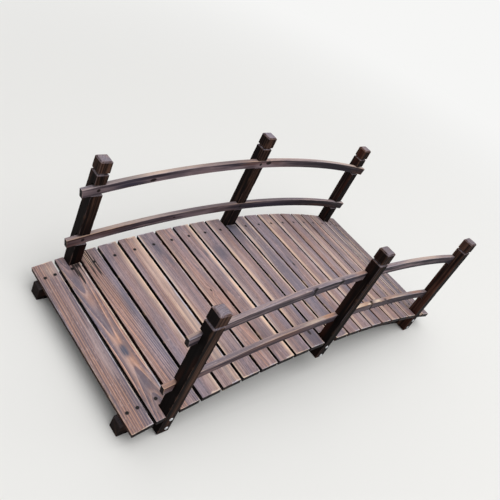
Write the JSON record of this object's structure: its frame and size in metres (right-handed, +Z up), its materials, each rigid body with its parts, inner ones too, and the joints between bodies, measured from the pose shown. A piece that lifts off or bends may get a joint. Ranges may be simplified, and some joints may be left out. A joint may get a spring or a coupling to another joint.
{
  "type": "moon bridge",
  "caption": "Small arched timber garden footbridge: curved stringers, laid deck boards, grooved posts and two curved rails on each side.",
  "frame": {"origin": "on the ground under the middle of the bridge", "axes": "+X along the walk, +Y across it to the far side, +Z up"},
  "size_m": [1.5106, 0.635, 0.5572],
  "materials": {
    "deck_wood": "weathered, faded stain",
    "frame_wood": "dark stain, matt",
    "rail_wood": "weathered, faded stain",
    "zinc_steel": "bright zinc",
    "screw_steel": "dull, dark"
  },
  "bodies": {
    "root": {"stringer_near": "frame_wood", "stringer_far": "frame_wood", "post_near_left": "frame_wood", "post_near_middle": "frame_wood", "post_near_right": "frame_wood", "post_far_left": "frame_wood", "post_far_middle": "frame_wood", "post_far_right": "frame_wood", "rail_upper_near": "rail_wood", "rail_lower_near": "rail_wood", "rail_upper_far": "rail_wood", "rail_lower_far": "rail_wood", "deck_board_01": "deck_wood", "deck_board_02": "deck_wood", "deck_board_03": "deck_wood", "deck_board_04": "deck_wood", "deck_board_05": "deck_wood", "deck_board_06": "deck_wood", "deck_board_07": "deck_wood", "deck_board_08": "deck_wood", "deck_board_09": "deck_wood", "deck_board_10": "deck_wood", "deck_board_11": "deck_wood", "deck_board_12": "deck_wood", "deck_board_13": "deck_wood", "deck_board_14": "deck_wood", "deck_board_15": "deck_wood", "deck_board_16": "deck_wood", "deck_board_17": "deck_wood", "deck_board_18": "deck_wood", "deck_board_19": "deck_wood", "deck_board_20": "deck_wood", "deck_board_21": "deck_wood"}
  },
  "joints": []
}
